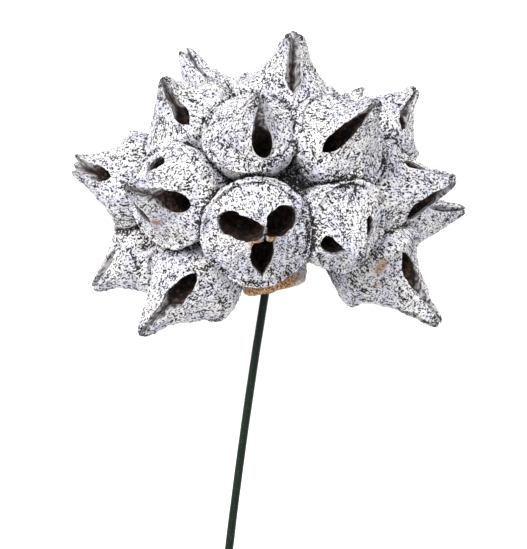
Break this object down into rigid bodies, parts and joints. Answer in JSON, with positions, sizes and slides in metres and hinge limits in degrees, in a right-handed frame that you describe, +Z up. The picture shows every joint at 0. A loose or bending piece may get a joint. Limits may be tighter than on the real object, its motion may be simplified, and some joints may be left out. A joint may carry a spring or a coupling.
{
  "type": "spider gum pod",
  "caption": "Dried spiky cluster of gum capsules fused into one woody ball, frosted white, on a green floral wire, lying on its back.",
  "frame": {"origin": "centre of the bounding box's underside, on the surface that the object lies on", "axes": "+Z up from the surface, +Y along the object from the wire's free end to the pod, +X to the right as seen from above"},
  "size_m": [0.0756, 0.2106, 0.0671],
  "materials": {
    "frosted_wood": "rough bark-like wood under a matt white frosting, with bare brown wood inside the slits",
    "green_lacquer": "dark green lacquer with a slight gloss on soft steel wire"
  },
  "bodies": {
    "root": {"gum_pod": "frosted_wood", "wire_stem": "green_lacquer"}
  },
  "joints": []
}
